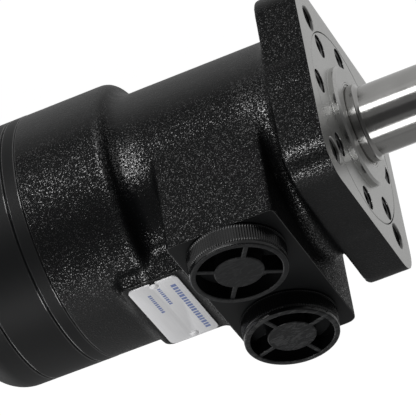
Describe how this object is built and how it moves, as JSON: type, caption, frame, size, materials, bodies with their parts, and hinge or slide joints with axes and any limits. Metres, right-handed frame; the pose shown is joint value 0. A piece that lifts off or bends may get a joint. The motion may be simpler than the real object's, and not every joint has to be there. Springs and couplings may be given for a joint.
{
  "type": "hydraulic orbit motor",
  "caption": "Low-speed hydraulic orbit motor with a square mounting flange, plain steel shaft, side oil ports with plastic caps and a roller gear set.",
  "frame": {"origin": "centre of the pilot, in the plane of the mounting face", "axes": "+X out along the output shaft, +Z out of the oil ports"},
  "size_m": [0.2022, 0.0956, 0.1047],
  "materials": {
    "black_casting": "semi-gloss black paint over rough cast iron, fine grain",
    "black_turned": "satin black paint over turned steel",
    "black_bolts": "black paint over steel",
    "machined_steel": "fine machined face",
    "ground_steel": "ground, bright",
    "oiled_steel": "dark oxide, oiled",
    "bearing_steel": "hardened and ground",
    "seal_rubber": "nitrile rubber",
    "soft_washer": "soft aluminium",
    "cap_plastic": "moulded black plastic, slightly shiny",
    "plate_aluminium": "matte silver"
  },
  "bodies": {
    "motor_body": {"housing": "black_casting", "front_cover": "machined_steel", "cover_screws": "oiled_steel", "cover_o_ring": "seal_rubber", "dust_seal": "seal_rubber", "shaft_seal": "seal_rubber", "seal_spring": "bearing_steel", "needle_cup": "bearing_steel", "thrust_race_front": "bearing_steel", "body_o_ring": "seal_rubber", "spacer_plate": "black_turned", "spacer_o_ring": "seal_rubber", "gear_ring": "black_turned", "end_cover": "black_turned", "end_cover_o_ring": "seal_rubber", "end_bolts": "black_bolts", "end_washers": "black_bolts", "drain_plug": "black_bolts", "drain_washer": "soft_washer", "nameplate": "plate_aluminium", "nameplate_rivets": "plate_aluminium"},
    "shaft": {"output_shaft": "ground_steel", "thrust_race_rear": "bearing_steel"},
    "thrust_cage": {"thrust_cage": "bearing_steel", "thrust_rollers": "bearing_steel"},
    "needle_cage": {"needle_cage": "bearing_steel", "needle_rollers": "bearing_steel"},
    "link": {"drive_link": "bearing_steel"},
    "rotor": {"rotor": "bearing_steel"},
    "gear_roller_1": {"gear_roller_1": "bearing_steel"},
    "gear_roller_2": {"gear_roller_2": "bearing_steel"},
    "gear_roller_3": {"gear_roller_3": "bearing_steel"},
    "gear_roller_4": {"gear_roller_4": "bearing_steel"},
    "gear_roller_5": {"gear_roller_5": "bearing_steel"},
    "gear_roller_6": {"gear_roller_6": "bearing_steel"},
    "gear_roller_7": {"gear_roller_7": "bearing_steel"},
    "cap_a": {"port_cap_a": "cap_plastic"},
    "cap_b": {"port_cap_b": "cap_plastic"}
  },
  "joints": [
    {"name": "shaft_spin", "type": "hinge", "parent": "motor_body", "child": "shaft", "pos_m": [0, 0, 0], "axis": [1, 0, 0], "continuous": true},
    {"name": "thrust_cage_spin", "type": "hinge", "parent": "motor_body", "child": "thrust_cage", "pos_m": [0, 0, 0], "axis": [1, 0, 0], "continuous": true},
    {"name": "needle_cage_spin", "type": "hinge", "parent": "motor_body", "child": "needle_cage", "pos_m": [0, 0, 0], "axis": [1, 0, 0], "continuous": true},
    {"name": "link_orbit", "type": "hinge", "parent": "motor_body", "child": "link", "pos_m": [0, 0, 0], "axis": [1, 0, 0], "continuous": true},
    {"name": "rotor_spin", "type": "hinge", "parent": "link", "child": "rotor", "pos_m": [-0.12375, 0.0018, 0.00087], "axis": [1, 0, 0], "continuous": true},
    {"name": "gear_roller_1_spin", "type": "hinge", "parent": "motor_body", "child": "gear_roller_1", "pos_m": [-0.12375, 0.02252, 0.01085], "axis": [1, 0, 0], "continuous": true},
    {"name": "gear_roller_2_spin", "type": "hinge", "parent": "motor_body", "child": "gear_roller_2", "pos_m": [-0.12375, 0.00556, 0.02437], "axis": [1, 0, 0], "continuous": true},
    {"name": "gear_roller_3_spin", "type": "hinge", "parent": "motor_body", "child": "gear_roller_3", "pos_m": [-0.12375, -0.01559, 0.01955], "axis": [1, 0, 0], "continuous": true},
    {"name": "gear_roller_4_spin", "type": "hinge", "parent": "motor_body", "child": "gear_roller_4", "pos_m": [-0.12375, -0.025, 0], "axis": [1, 0, 0], "continuous": true},
    {"name": "gear_roller_5_spin", "type": "hinge", "parent": "motor_body", "child": "gear_roller_5", "pos_m": [-0.12375, -0.01559, -0.01955], "axis": [1, 0, 0], "continuous": true},
    {"name": "gear_roller_6_spin", "type": "hinge", "parent": "motor_body", "child": "gear_roller_6", "pos_m": [-0.12375, 0.00556, -0.02437], "axis": [1, 0, 0], "continuous": true},
    {"name": "gear_roller_7_spin", "type": "hinge", "parent": "motor_body", "child": "gear_roller_7", "pos_m": [-0.12375, 0.02252, -0.01085], "axis": [1, 0, 0], "continuous": true},
    {"name": "cap_a_lift", "type": "slide", "parent": "motor_body", "child": "cap_a", "axis": [0, 0, 1], "range_m": [0, 0.045]},
    {"name": "cap_b_lift", "type": "slide", "parent": "motor_body", "child": "cap_b", "axis": [0, 0, 1], "range_m": [0, 0.045]}
  ],
  "couplings": [
    {"joint": "thrust_cage_spin", "follows": "shaft_spin", "ratio": 0.5},
    {"joint": "needle_cage_spin", "follows": "shaft_spin", "ratio": 0.4531},
    {"joint": "link_orbit", "follows": "shaft_spin", "ratio": -6},
    {"joint": "rotor_spin", "follows": "shaft_spin", "ratio": 7}
  ]
}
